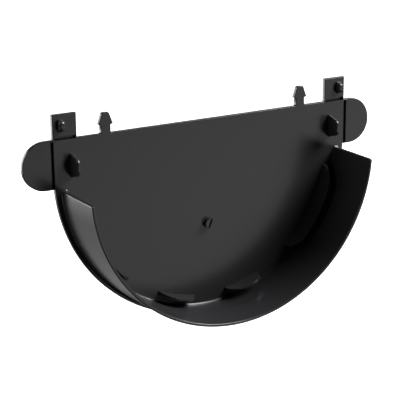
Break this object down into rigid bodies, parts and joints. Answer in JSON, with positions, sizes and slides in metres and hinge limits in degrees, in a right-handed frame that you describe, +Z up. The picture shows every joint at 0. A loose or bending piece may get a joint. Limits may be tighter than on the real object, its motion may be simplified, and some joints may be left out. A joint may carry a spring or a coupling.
{
  "type": "gutter end cap",
  "caption": "Half-round gutter end cap moulded in dark grey plastic: flat plate with a push-on collar, inner grip tabs, break-off ears and lugs, and snap barbs on its top edge.",
  "frame": {"origin": "on the axis of the half-round socket, at the plate's inner face, where the gutter's end butts", "axes": "+X along the plate from ear to ear, to the right as the picture shows it; +Z up, out of the open top of the gutter; -Y out of the socket, along the gutter"},
  "size_m": [0.1614, 0.0268, 0.0914],
  "materials": {
    "pvc": "satin moulded rigid PVC, anthracite grey"
  },
  "bodies": {
    "root": {"end_cap": "pvc"}
  },
  "joints": []
}
